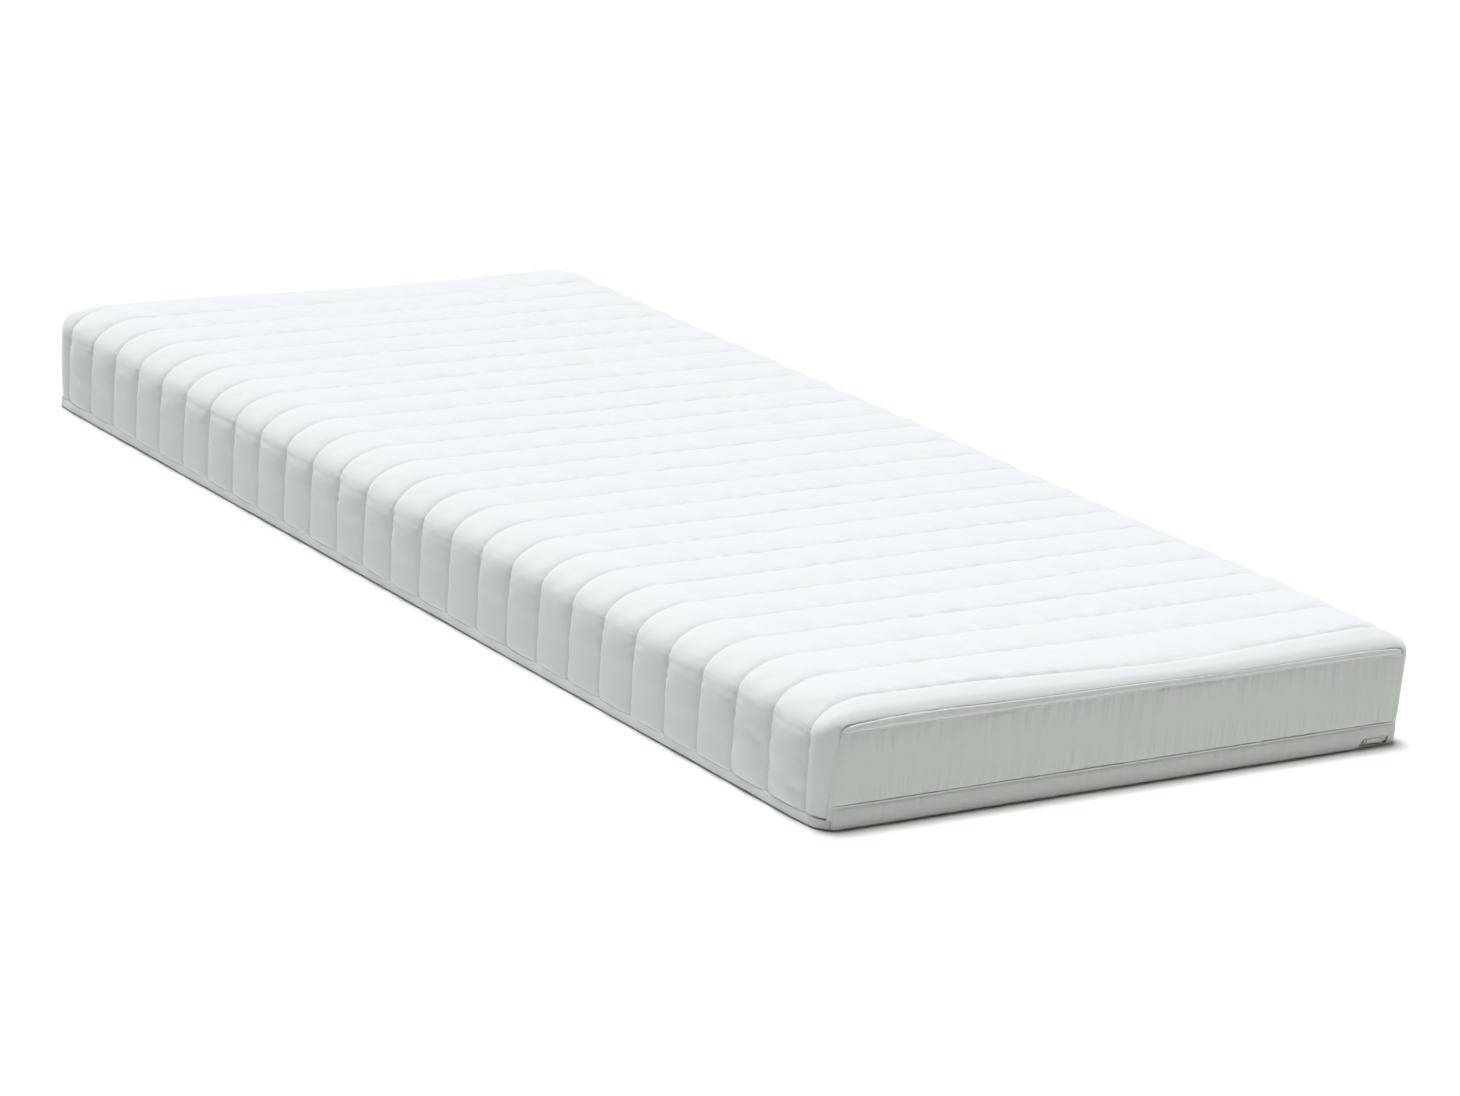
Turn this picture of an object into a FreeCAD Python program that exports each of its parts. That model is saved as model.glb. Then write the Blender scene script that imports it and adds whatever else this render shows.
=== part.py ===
"""Foam mattress with a removable, channel-quilted zip cover, one STEP file per separate piece.

Frame: millimetres, +Z up, origin at the centre of the underside.
X is the width, Y the length, and the foot end with the zip is at -Y.
"""

import FreeCAD
import Part

import math
import os

# Overall size
LENGTH = 2000.0
WIDTH = 900.0
HEIGHT = 155.0
CORNER_RADIUS = 30.0

# The soft upper edges are quarter ellipses: how far they reach inwards and how far they drop
LONG_EDGE_REACH = 80.0
LONG_EDGE_DROP = 38.0
END_EDGE_REACH = 44.0
END_EDGE_DROP = 35.0

# Quilted panel: a knitted face, fibre wadding and a thin backing, sewn together in channels
FACE = 1.2
WADDING = 8.0
BACKING = 0.8
QUILT = FACE + WADDING + BACKING
CHANNEL_PITCH = 73.5
STITCH_LINES = 27
THREAD_WIDTH = 1.0
THREAD_DEPTH = 0.6

# End panels: a knitted fabric over a laminated fleece, set in a window of the quilted panel
PANEL_INSET = 1.0
PANEL_FABRIC = 1.2
PANEL_BACK = PANEL_INSET + PANEL_FABRIC
FLEECE = 4.0
END_WALL = PANEL_BACK + FLEECE
WINDOW_HALF_WIDTH = WIDTH / 2 - 18.0
SEAM_HEIGHT = 133.0
SEAM_TAPE_WIDTH = 12.0
SEAM_TAPE_BOTTOM = SEAM_HEIGHT - SEAM_TAPE_WIDTH
HEM_TOP = 31.0
STITCH_FROM_EDGE = 2.0

# Base fabric: a flat sheet with an upturned rim, edged with a soft tape
RIM_TOP = 14.0
BASE_FABRIC = 1.5
BORDER_TAPE = 2.5
BORDER_BOTTOM = 1.0
BASE_EDGE_RADIUS = 6.0

# Foam core inside its sock, with room at both ends for the zip and its seams
SOCK = 0.8
CORE_GAP = 0.2
CORE_END_GAP = 5.2
MEMORY_FOAM = 40.0

# Zip along the foot end, its tapes lying against the back of the fleece
ZIP_HALF_LENGTH = 420.0
ZIP_CENTRE_Z = 8.5
ZIP_PLANE_Y = -LENGTH / 2 + END_WALL
TAPE_THICKNESS = 0.6
ZIP_MIDDLE_Y = ZIP_PLANE_Y + TAPE_THICKNESS / 2
UPPER_TAPE_TOP = 24.0
TOOTH_REACH = 2.0
TOOTH_GAP = 1.2
TOOTH_DEPTH = 1.6
RECESS_BOTTOM = 3.0
RECESS_SIDE_GAP = 2.0
RECESS_BACK_GAP = 4.0

# Slider
SLIDER_LENGTH = 12.0
SLIDER_HEIGHT = 8.0
SLIDER_PLATE = 1.0
SLIDER_CORNER = 1.5
SLIDER_CLEARANCE = 0.25
POST_THICKNESS = 0.7
POST_LENGTH = 3.0
STOP_LENGTH = 4.0
STOP_THICKNESS = 0.8
SLIDER_X = ZIP_HALF_LENGTH - STOP_LENGTH - SLIDER_LENGTH / 2 - 1.0
SLIDER_INNER_GAP = TOOTH_DEPTH / 2 + SLIDER_CLEARANCE
SLIDER_FRONT_Y = ZIP_MIDDLE_Y - SLIDER_INNER_GAP - SLIDER_PLATE

# Pull tab, which swings on an upright bar between two ears on the slider
EAR = 1.2
HINGE_BAR_RADIUS = 0.6
HINGE_Y = SLIDER_FRONT_Y - 1.4
TAB_LENGTH = 26.0
TAB_THICKNESS = 1.0
EYE_CLEARANCE = 0.06
EYE_WALL = 0.5
TAB_HALF_HEIGHT = SLIDER_HEIGHT / 2 - EAR - 0.2
TAB_END_RADIUS = 2.0
GRIP_HOLE_RADIUS = 1.2
GRIP_HOLE_FROM_END = 4.0

# Care label, sewn by one upright edge to the flat of the head end panel
LABEL_WIDTH = 36.0
LABEL_HEIGHT = 56.0
LABEL_THICKNESS = 0.4
LABEL_BOTTOM = 48.0
LABEL_SEAM_X = WIDTH / 2 - CORNER_RADIUS - 2.0
LABEL_GAP = 0.05

# How far a cutting or joining block runs past the face it has to cross
PAST = 1.0
JOIN = 0.2

OUT = "parts"


def box(low, high):
    """An upright block between two opposite corners."""
    size = [b - a for a, b in zip(low, high)]
    return Part.makeBox(*size, FreeCAD.Vector(*low))


def end_box(sign, half_width, inner, bottom, top):
    """A block at one end, from a distance inside the end plane out past it."""
    near, far = sorted((sign * (LENGTH / 2 - inner), sign * (LENGTH / 2 + PAST)))
    return box((-half_width, near, bottom), (half_width, far, top))


def edges_along(solid, direction):
    """The straight edges of a block that run along one direction."""
    return [e for e in solid.Edges if abs(e.tangentAt(e.FirstParameter).dot(direction)) > 0.999]


def level_edges(solid, z):
    """The edges that lie in the level plane at z."""
    return [e for e in solid.Edges
            if e.BoundBox.ZMax - e.BoundBox.ZMin < 1e-6 and abs(e.BoundBox.ZMin - z) < 1e-6]


def prism(side, end, bottom, top, corner, bottom_radius=0.0):
    """An upright block set in from the mattress outline, with round corners."""
    block = box((-WIDTH / 2 + side, -LENGTH / 2 + end, bottom),
                (WIDTH / 2 - side, LENGTH / 2 - end, top))
    block = block.makeFillet(corner, edges_along(block, FreeCAD.Vector(0, 0, 1)))
    if bottom_radius:
        block = block.makeFillet(bottom_radius, level_edges(block, bottom))
    return block


def arch(half_span, reach, drop, bottom, top):
    """A long bar along Y whose section has a quarter ellipse on each upper edge."""
    shoulder = top - drop
    curves = []
    for sign in (-1, 1):
        centre = FreeCAD.Vector(sign * (half_span - reach), 0, shoulder)
        side_end = centre + FreeCAD.Vector(sign * reach, 0, 0)
        top_end = centre + FreeCAD.Vector(0, 0, drop)
        ellipse = Part.Ellipse(side_end, top_end, centre)
        curves.append(Part.Arc(ellipse, 0, math.pi / 2).toShape())
        curves.append(Part.makeLine(FreeCAD.Vector(sign * half_span, 0, bottom), side_end))
    corner = FreeCAD.Vector(half_span - reach, 0, top)
    curves.append(Part.makeLine(FreeCAD.Vector(-corner.x, 0, top), corner))
    curves.append(Part.makeLine(FreeCAD.Vector(-half_span, 0, bottom),
                                FreeCAD.Vector(half_span, 0, bottom)))
    section = Part.Face(Part.Wire(Part.__sortEdges__(curves)))
    section.translate(FreeCAD.Vector(0, -LENGTH, 0))
    return section.extrude(FreeCAD.Vector(0, 2 * LENGTH, 0))


def soft_block(side, end, top, bottom):
    """The mattress form, taken inwards by its own distance at the sides, ends and top."""
    upper = HEIGHT - top
    across = arch(WIDTH / 2 - side, LONG_EDGE_REACH - side, LONG_EDGE_DROP - top, bottom, upper)
    along = arch(LENGTH / 2 - end, END_EDGE_REACH - end, END_EDGE_DROP - top, bottom, upper)
    along.rotate(FreeCAD.Vector(0, 0, 0), FreeCAD.Vector(0, 0, 1), 90)
    return prism(side, end, bottom, upper, CORNER_RADIUS - side).common(across).common(along)


def outline(depth):
    """The cover's outer form, taken evenly inwards from its top and sides by a depth."""
    return soft_block(depth, depth, depth, RIM_TOP)


def layer(depth_from, depth_to):
    """The part of the cover wall that lies between two depths."""
    return outline(depth_from).cut(outline(depth_to))


def quilting_threads():
    """One thread per quilting line, over the top and down both long sides."""
    skin = layer(0.0, THREAD_DEPTH)
    first = -(STITCH_LINES - 1) * CHANNEL_PITCH / 2
    threads = []
    for k in range(STITCH_LINES):
        y = first + k * CHANNEL_PITCH
        slab = box((-WIDTH, y - THREAD_WIDTH / 2, 0.0), (WIDTH, y + THREAD_WIDTH / 2, HEIGHT + PAST))
        threads.append(skin.common(slab))
    return threads


def quilted_panel(threads):
    """The three sewn layers of the quilted panel, from the face inwards."""
    windows = Part.makeCompound([end_box(sign, WINDOW_HALF_WIDTH, QUILT + PAST, RIM_TOP - PAST,
                                         SEAM_HEIGHT) for sign in (-1, 1)])
    face = layer(0.0, FACE).cut(windows).cut(Part.makeCompound(threads))
    wadding = layer(FACE, FACE + WADDING).cut(windows)
    backing = layer(FACE + WADDING, QUILT).cut(windows)
    return face, wadding, backing


def end_piece(sign, depth_from, depth_to, bottom, top):
    """A layer of one end wall, trimmed to the window of the quilted panel."""
    room = end_box(sign, WINDOW_HALF_WIDTH, QUILT, bottom, top)
    return layer(depth_from, depth_to).common(room)


def stitch_row(sign, z):
    """A level row of top-stitching across one end."""
    return end_piece(sign, 0.0, THREAD_DEPTH, z - THREAD_WIDTH / 2, z + THREAD_WIDTH / 2)


def end_pieces(sign):
    """An end's knitted panel, fleece, seam tape, hem band and top-stitching."""
    panel = end_piece(sign, PANEL_INSET, PANEL_BACK, RIM_TOP, SEAM_HEIGHT)
    fleece = end_piece(sign, PANEL_BACK, END_WALL, RIM_TOP, SEAM_HEIGHT)
    upper_row = stitch_row(sign, SEAM_HEIGHT - STITCH_FROM_EDGE)
    lower_row = stitch_row(sign, SEAM_TAPE_BOTTOM + STITCH_FROM_EDGE)
    tape = end_piece(sign, 0.0, PANEL_INSET, SEAM_TAPE_BOTTOM, SEAM_HEIGHT)
    tape = tape.cut(upper_row).cut(lower_row)
    hem_row = stitch_row(sign, HEM_TOP - STITCH_FROM_EDGE)
    hem = end_piece(sign, 0.0, PANEL_INSET, RIM_TOP, HEM_TOP).cut(hem_row)
    return panel, fleece, tape, hem, [upper_row, lower_row, hem_row]


def base_sheet():
    """The base fabric with its upturned rim, open along the foot end for the zip."""
    outer = prism(BORDER_TAPE, BORDER_TAPE, 0.0, RIM_TOP, CORNER_RADIUS - BORDER_TAPE,
                  BASE_EDGE_RADIUS)
    wall = BORDER_TAPE + BASE_FABRIC
    inner = prism(wall, wall, BASE_FABRIC, RIM_TOP + PAST, CORNER_RADIUS - wall,
                  BASE_EDGE_RADIUS - BASE_FABRIC)
    recess = end_box(-1, ZIP_HALF_LENGTH + RECESS_SIDE_GAP, END_WALL + RECESS_BACK_GAP,
                     RECESS_BOTTOM, RIM_TOP + PAST)
    return outer.cut(inner).cut(recess)


def border_tapes():
    """The edging tape along the left side, the right side and the head end."""
    ring = prism(0.0, 0.0, BORDER_BOTTOM, RIM_TOP, CORNER_RADIUS, BASE_EDGE_RADIUS)
    ring = ring.cut(prism(BORDER_TAPE, BORDER_TAPE, 0.0, RIM_TOP + PAST,
                          CORNER_RADIUS - BORDER_TAPE))
    left = ring.common(box((-WIDTH, -LENGTH, 0.0), (-WINDOW_HALF_WIDTH, LENGTH, HEIGHT)))
    right = ring.common(box((WINDOW_HALF_WIDTH, -LENGTH, 0.0), (WIDTH, LENGTH, HEIGHT)))
    head = ring.common(end_box(1, WINDOW_HALF_WIDTH, QUILT, 0.0, HEIGHT))
    return left, right, head


def core_pieces():
    """Two foam layers and the thin sock pulled over both."""
    side = QUILT + CORE_GAP
    end = END_WALL + CORE_END_GAP
    bottom = BASE_FABRIC + CORE_GAP
    foam = soft_block(side + SOCK, end + SOCK, side + SOCK, bottom + SOCK)
    sock = soft_block(side, end, side, bottom).cut(foam)
    split = HEIGHT - side - SOCK - MEMORY_FOAM
    upper_part = box((-WIDTH, -LENGTH, split), (WIDTH, LENGTH, HEIGHT))
    return foam.cut(upper_part), foam.common(upper_part), sock


def zip_half(sign, tape_end, base):
    """One tape and its row of teeth, above (+1) or below (-1) the zip's centre line."""
    tooth_tip = ZIP_CENTRE_Z + sign * TOOTH_GAP / 2
    tooth_root = tooth_tip + sign * TOOTH_REACH
    low, high = sorted((tooth_root, tape_end))
    tape = box((-ZIP_HALF_LENGTH, ZIP_PLANE_Y, low),
               (ZIP_HALF_LENGTH, ZIP_PLANE_Y + TAPE_THICKNESS, high)).cut(base)
    low, high = sorted((tooth_tip, tooth_root))
    teeth = box((-ZIP_HALF_LENGTH, ZIP_MIDDLE_Y - TOOTH_DEPTH / 2, low),
                (ZIP_HALF_LENGTH, ZIP_MIDDLE_Y + TOOTH_DEPTH / 2, high))
    return tape, teeth


def upright_cylinder(radius, half_height):
    """A cylinder centred on the pull tab's hinge line."""
    foot = FreeCAD.Vector(SLIDER_X, HINGE_Y, ZIP_CENTRE_Z - half_height)
    return Part.makeCylinder(radius, 2 * half_height, foot)


def slider():
    """Two plates joined by a post between the teeth, and a hinge bar on two ears in front."""
    half = SLIDER_HEIGHT / 2
    low_x = SLIDER_X - SLIDER_LENGTH / 2
    high_x = SLIDER_X + SLIDER_LENGTH / 2
    plates = []
    for low_y in (SLIDER_FRONT_Y, ZIP_MIDDLE_Y + SLIDER_INNER_GAP):
        plate = box((low_x, low_y, ZIP_CENTRE_Z - half),
                    (high_x, low_y + SLIDER_PLATE, ZIP_CENTRE_Z + half))
        plates.append(plate.makeFillet(SLIDER_CORNER, edges_along(plate, FreeCAD.Vector(0, 1, 0))))
    post_end = high_x - SLIDER_CORNER
    reach = SLIDER_INNER_GAP + JOIN
    post = box((post_end - POST_LENGTH, ZIP_MIDDLE_Y - reach, ZIP_CENTRE_Z - POST_THICKNESS / 2),
               (post_end, ZIP_MIDDLE_Y + reach, ZIP_CENTRE_Z + POST_THICKNESS / 2))
    ears = []
    for low_z in (ZIP_CENTRE_Z - half, ZIP_CENTRE_Z + half - EAR):
        ears.append(box((SLIDER_X - EAR, HINGE_Y - HINGE_BAR_RADIUS, low_z),
                        (SLIDER_X + EAR, SLIDER_FRONT_Y + JOIN, low_z + EAR)))
    bar = upright_cylinder(HINGE_BAR_RADIUS, half)
    return plates[0].fuse([plates[1], post, bar] + ears).removeSplitter()


def pull_tab():
    """A flat tab with a round free end, a grip hole, and an eye around the slider's bar."""
    across = FreeCAD.Vector(0, 1, 0)
    eye_radius = HINGE_BAR_RADIUS + EYE_CLEARANCE
    leaf = box((SLIDER_X - TAB_LENGTH, HINGE_Y - TAB_THICKNESS / 2, ZIP_CENTRE_Z - TAB_HALF_HEIGHT),
               (SLIDER_X, HINGE_Y + TAB_THICKNESS / 2, ZIP_CENTRE_Z + TAB_HALF_HEIGHT))
    free_edges = [e for e in edges_along(leaf, across) if e.BoundBox.XMax < SLIDER_X - PAST]
    leaf = leaf.makeFillet(TAB_END_RADIUS, free_edges)
    tab = upright_cylinder(eye_radius + EYE_WALL, TAB_HALF_HEIGHT).fuse(leaf).removeSplitter()
    tab = tab.cut(upright_cylinder(eye_radius, SLIDER_HEIGHT))
    grip_x = SLIDER_X - TAB_LENGTH + GRIP_HOLE_FROM_END
    grip_hole = Part.makeCylinder(GRIP_HOLE_RADIUS, 2 * PAST,
                                  FreeCAD.Vector(grip_x, HINGE_Y - PAST, ZIP_CENTRE_Z), across)
    return tab.cut(grip_hole)


def zip_stop(sign):
    """A metal clip across the front of both rows of teeth, at one end of the zip."""
    low_x, high_x = sorted((sign * ZIP_HALF_LENGTH, sign * (ZIP_HALF_LENGTH - STOP_LENGTH)))
    reach = TOOTH_GAP / 2 + TOOTH_REACH
    face_y = ZIP_MIDDLE_Y - TOOTH_DEPTH / 2
    return box((low_x, face_y - STOP_THICKNESS, ZIP_CENTRE_Z - reach),
               (high_x, face_y, ZIP_CENTRE_Z + reach))


def care_label():
    """A satin label that lies flat on the head end panel."""
    y = LENGTH / 2 - PANEL_INSET + LABEL_GAP
    return box((LABEL_SEAM_X - LABEL_WIDTH, y, LABEL_BOTTOM),
               (LABEL_SEAM_X, y + LABEL_THICKNESS, LABEL_BOTTOM + LABEL_HEIGHT))


def save(name, shape):
    """Writes one piece, which is a single shape or a list of separate strands."""
    shapes = shape if isinstance(shape, list) else [shape]
    solids = [s for item in shapes for s in item.Solids]
    whole = solids[0] if len(solids) == 1 else Part.makeCompound(solids)
    whole.exportStep(os.path.join(OUT, name + ".step"))


os.makedirs("parts", exist_ok=True)

quilt_threads = quilting_threads()
face_fabric, wadding, backing = quilted_panel(quilt_threads)
save("quilted_face_fabric", face_fabric)
save("quilt_wadding", wadding)
save("quilt_backing", backing)
save("quilting_threads", quilt_threads)

for sign, end_name in ((-1, "foot"), (1, "head")):
    panel, fleece, seam_tape, hem, stitching = end_pieces(sign)
    save(end_name + "_end_panel", panel)
    save(end_name + "_end_fleece", fleece)
    save(end_name + "_seam_tape", seam_tape)
    save(end_name + "_hem_band", hem)
    save(end_name + "_topstitching", stitching)

base_fabric = base_sheet()
left_tape, right_tape, head_tape = border_tapes()
save("base_fabric", base_fabric)
save("left_border_tape", left_tape)
save("right_border_tape", right_tape)
save("head_border_tape", head_tape)

support_foam, memory_foam, sock = core_pieces()
save("support_foam_base", support_foam)
save("memory_foam_layer", memory_foam)
save("foam_sock", sock)

for sign, row, tape_end in ((1, "upper", UPPER_TAPE_TOP), (-1, "lower", BASE_FABRIC)):
    zip_tape, zip_teeth = zip_half(sign, tape_end, base_fabric)
    save("zip_tape_" + row, zip_tape)
    save("zip_teeth_" + row, zip_teeth)

save("zip_slider", slider())
save("zip_pull_tab", pull_tab())
save("zip_open_end_stop", zip_stop(-1))
save("zip_closed_end_stop", zip_stop(1))
save("care_label", care_label())
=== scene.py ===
import math

import bpy
import numpy as np
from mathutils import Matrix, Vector


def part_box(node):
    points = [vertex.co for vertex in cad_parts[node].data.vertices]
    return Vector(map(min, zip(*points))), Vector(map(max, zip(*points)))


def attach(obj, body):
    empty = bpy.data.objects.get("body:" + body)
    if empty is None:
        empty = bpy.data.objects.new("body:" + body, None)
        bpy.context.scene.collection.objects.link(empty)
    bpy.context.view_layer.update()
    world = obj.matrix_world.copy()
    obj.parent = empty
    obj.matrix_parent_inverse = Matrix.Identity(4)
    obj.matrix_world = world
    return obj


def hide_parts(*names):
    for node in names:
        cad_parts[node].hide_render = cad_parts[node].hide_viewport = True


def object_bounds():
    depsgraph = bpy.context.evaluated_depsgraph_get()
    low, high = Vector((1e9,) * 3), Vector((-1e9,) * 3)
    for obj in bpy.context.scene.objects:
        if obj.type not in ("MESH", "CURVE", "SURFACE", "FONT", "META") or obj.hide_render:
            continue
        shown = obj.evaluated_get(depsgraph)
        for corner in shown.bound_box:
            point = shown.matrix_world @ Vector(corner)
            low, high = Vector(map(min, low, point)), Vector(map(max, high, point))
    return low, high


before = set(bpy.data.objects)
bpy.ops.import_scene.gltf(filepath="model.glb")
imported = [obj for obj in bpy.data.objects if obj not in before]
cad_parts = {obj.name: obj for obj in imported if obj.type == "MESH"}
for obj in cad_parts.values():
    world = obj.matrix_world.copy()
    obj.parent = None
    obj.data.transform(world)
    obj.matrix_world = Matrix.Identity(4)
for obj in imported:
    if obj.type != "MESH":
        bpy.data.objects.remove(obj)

MM = 0.001
cad_low, cad_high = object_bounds()
HALF_WIDTH = cad_high.x
HALF_LENGTH = cad_high.y
HEIGHT = cad_high.z

# ---------------------------------------------------------------------------------------------
# Foam core. Two slabs of polyurethane foam: a firm open-cell base and, glued on it, a slow
# memory foam layer with a finer, warmer cell. Both are sawn from a block, so every face shows
# cut cells. They fill the cover and nothing but the sock touches them.


def linear(hex_colour):
    """An sRGB hex colour as linear red, green, blue and alpha."""
    parts = [int(hex_colour[i:i + 2], 16) / 255 for i in (0, 2, 4)]
    return [c / 12.92 if c <= 0.04045 else ((c + 0.055) / 1.055) ** 2.4 for c in parts] + [1.0]


def add(tree, kind, sockets=None, **settings):
    """Adds one node with its settings, and gives each named socket its value or its link."""
    made = tree.nodes.new(kind)
    for name, value in settings.items():
        setattr(made, name, value)
    for name, value in (sockets or {}).items():
        if isinstance(value, bpy.types.NodeSocket):
            tree.links.new(value, made.inputs[name])
        else:
            made.inputs[name].default_value = value
    return made


def surface(name, colour, height, lift, shift=0.06, hollow_shade=0.25, **shader):
    """A material: a colour that drifts a little, relief from a height pattern, and a shader.

    height is a function that takes the tree and the coordinates in metres and gives a socket.
    lift is how far the relief stands up, and shift how much darker the colour drifts in places. The
    colour is also darkened in the relief's low spots, as painted shade in its hollows.
    """
    made = bpy.data.materials.new(name)
    made.use_nodes = True
    tree = made.node_tree
    tree.nodes.clear()
    mapped = shader.pop("mapped", "Object")
    place = add(tree, "ShaderNodeTexCoord").outputs[mapped]
    pattern = height(tree, place)
    drift_wave = 0.12
    cloud = add(tree, "ShaderNodeTexNoise", {"Vector": place, "Scale": 1 / drift_wave, "Detail": 3.0})
    light = linear(colour)
    dark = [c * (1 - shift) for c in light[:3]] + [1.0]
    mixed = add(tree, "ShaderNodeMix", {"Factor": cloud.outputs["Fac"], "A": dark, "B": light},
                data_type="RGBA")
    # Painted shade: the colour darkens towards the height pattern's low spots, the hollows of cells,
    # loops and fibres
    low = [c * (1 - hollow_shade) for c in light[:3]] + [1.0]
    hollow_shaded = add(tree, "ShaderNodeMix", {"Factor": pattern, "A": low, "B": mixed.outputs["Result"]},
                 data_type="RGBA")
    relief = add(tree, "ShaderNodeBump", {"Strength": 1.0, "Distance": lift, "Height": pattern})
    sockets = {"Base Color": hollow_shaded.outputs["Result"], "Normal": relief.outputs["Normal"]}
    sockets.update(shader)
    principled = add(tree, "ShaderNodeBsdfPrincipled", sockets)
    add(tree, "ShaderNodeOutputMaterial", {"Surface": principled.outputs["BSDF"]})
    return made


def cells(size):
    """The height pattern of cut foam: round open cells of a real size in metres."""
    def height(tree, place):
        cell = add(tree, "ShaderNodeTexVoronoi", {"Vector": place, "Scale": 1 / size},
                   feature="SMOOTH_F1")
        return cell.outputs["Distance"]
    return height


def dress(piece, material):
    """Gives a piece one material over all of it."""
    piece.data.materials.clear()
    piece.data.materials.append(material)
    return piece


def dress_cad(node, material):
    """Gives a CAD piece, which keeps its own shape, a finished material."""
    return dress(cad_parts[node], material)


FOAM_CELL = 1.6 * MM
MEMORY_CELL = 1.1 * MM

# Slow-recovery polyurethane foam: dead matt and slightly cream, with fine cells.
memory_foam = surface("memory_polyurethane_foam", "F3EEDC", cells(MEMORY_CELL), 0.25 * MM, hollow_shade=0.12,
                      Roughness=0.95, **{"Specular IOR Level": 0.2})
# Open-cell polyurethane foam: matt, cooler and coarser.
support_foam = surface("open_cell_polyurethane_foam", "DCE1E6", cells(FOAM_CELL), 0.4 * MM, hollow_shade=0.15,
                       Roughness=0.95, **{"Specular IOR Level": 0.2})
dress_cad("memory_foam_layer", memory_foam)
dress_cad("support_foam_base", support_foam)

# ---------------------------------------------------------------------------------------------
# Foam sock. A tube of thin single jersey pulled over both foam slabs and closed at the ends,
# so that the cover slides on and off. It is stretched, so its loops lie open and flat.


def knit(wale, course, reach=0.5):
    """The height pattern of plain knitting: upright ribs of loops, crossed by finer courses."""
    waves_in_noise = 2 * math.pi / 20

    def height(tree, place):
        ribs = add(tree, "ShaderNodeTexWave", {"Vector": place, "Scale": waves_in_noise / wale,
                                               "Distortion": 0.6, "Detail": 1.0},
                   bands_direction="X")
        rows = add(tree, "ShaderNodeTexWave", {"Vector": place, "Scale": waves_in_noise / course,
                                               "Distortion": 0.6, "Detail": 1.0},
                   bands_direction="Y")
        both = add(tree, "ShaderNodeMix", {"Factor": reach, "A": ribs.outputs["Fac"],
                                           "B": rows.outputs["Fac"]}, data_type="FLOAT")
        return both.outputs["Result"]
    return height


# Stretched cotton-polyester jersey: thin, matt and almost smooth.
jersey = surface("stretched_single_jersey", "F1F1EF", knit(1.0 * MM, 0.8 * MM), 0.1 * MM, hollow_shade=0.06,
                 Roughness=0.9, **{"Sheen Weight": 0.15})
sock = dress_cad("foam_sock", jersey)

# ---------------------------------------------------------------------------------------------
# Quilt backing. The thin non-woven that the quilting needles sew through, next to the sock.


def fibres(size):
    """The height pattern of matted fibres, of a real size in metres."""
    def height(tree, place):
        mat = add(tree, "ShaderNodeTexNoise", {"Vector": place, "Scale": 1 / size, "Detail": 6.0,
                                               "Roughness": 0.7, "Distortion": 1.5})
        return mat.outputs["Fac"]
    return height


# Spun-bonded polypropylene: papery, a little shiny where the fibres are melted together.
spunbond = surface("spun_bonded_non_woven", "E9E9E4", fibres(2.5 * MM), 0.15 * MM, hollow_shade=0.1,
                   Roughness=0.75, **{"Sheen Weight": 0.1})
backing = dress_cad("quilt_backing", spunbond)

# ---------------------------------------------------------------------------------------------
# Wadding. A polyester fibre batt between the face and the backing. The quilting squeezes it
# flat along each seam, and it swells between them: its swelling is what shapes the cover.

# The cover's form: soft upper edges that are quarter ellipses, and round upright corners
EDGE_REACH = 80 * MM
EDGE_DROP = 44 * MM
END_REACH = 44 * MM
END_DROP = 36 * MM
CORNER = 30 * MM
panel_low, panel_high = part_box("foot_end_panel")
RIM = panel_low.z
SEAM_Z = panel_high.z
WINDOW = panel_high.x
threads_low, threads_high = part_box("quilting_threads")
STITCH_LINES = 27
THREAD_STRIP = 1.0 * MM
FIRST_LINE = threads_low.y + THREAD_STRIP / 2
PITCH = (threads_high.y - threads_low.y - THREAD_STRIP) / (STITCH_LINES - 1)

# Where the seams really lie: their gaps widen from the foot end on, and the outer two bow
GAP_GROWTH = 11 * MM
GROWTH_LINES = 3
FOOT_PULL = 3 * MM
BOW_LEAST = 3 * MM
BOW_MORE = 15 * MM
BOW_CENTRE = 60 * MM
BOW_WIDTH = 230 * MM
SAG = 6 * MM
SAG_CENTRE = 120 * MM
SAG_WIDTH = 250 * MM
SAG_LENGTH = 200 * MM

# How the channels stand up between their seams
PUFF = 5.2 * MM
PUFF_POWER = 0.36
SQUARE_SHARE = 0.45
ROUND_SHARE = 0.15
SIM_SHARE = 0.4
SEAM_PUFF = 0.8 * MM
SEAM_BITE = 2.5 * MM
END_BITE = 0.5 * MM
BITE_WIDTH = 2.8 * MM
PROUD = 1.6 * MM
FURTHEST_OUT = 3.5 * MM
CORNER_TUCK = 4.5 * MM
DEEPEST = 7.8 * MM
FACE = 1.2 * MM
QUILT_DEPTH = 9.1 * MM
BACKING_DROP = 38 * MM


def drift(u, v, seed):
    """Smooth random waves from -1 to 1, about one to each unit of u and of v."""
    size = 256
    lattice = np.random.default_rng(seed).uniform(-1, 1, (size, size))
    u, v = np.broadcast_arrays(u, v)
    i = np.floor(u).astype(int)
    j = np.floor(v).astype(int)
    a = u - i
    b = v - j
    a = a * a * (3 - 2 * a)
    b = b * b * (3 - 2 * b)
    near = lattice[i % size, j % size] * (1 - a) + lattice[(i + 1) % size, j % size] * a
    far = lattice[i % size, (j + 1) % size] * (1 - a) + lattice[(i + 1) % size, (j + 1) % size] * a
    return near * (1 - b) + far * b


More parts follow.
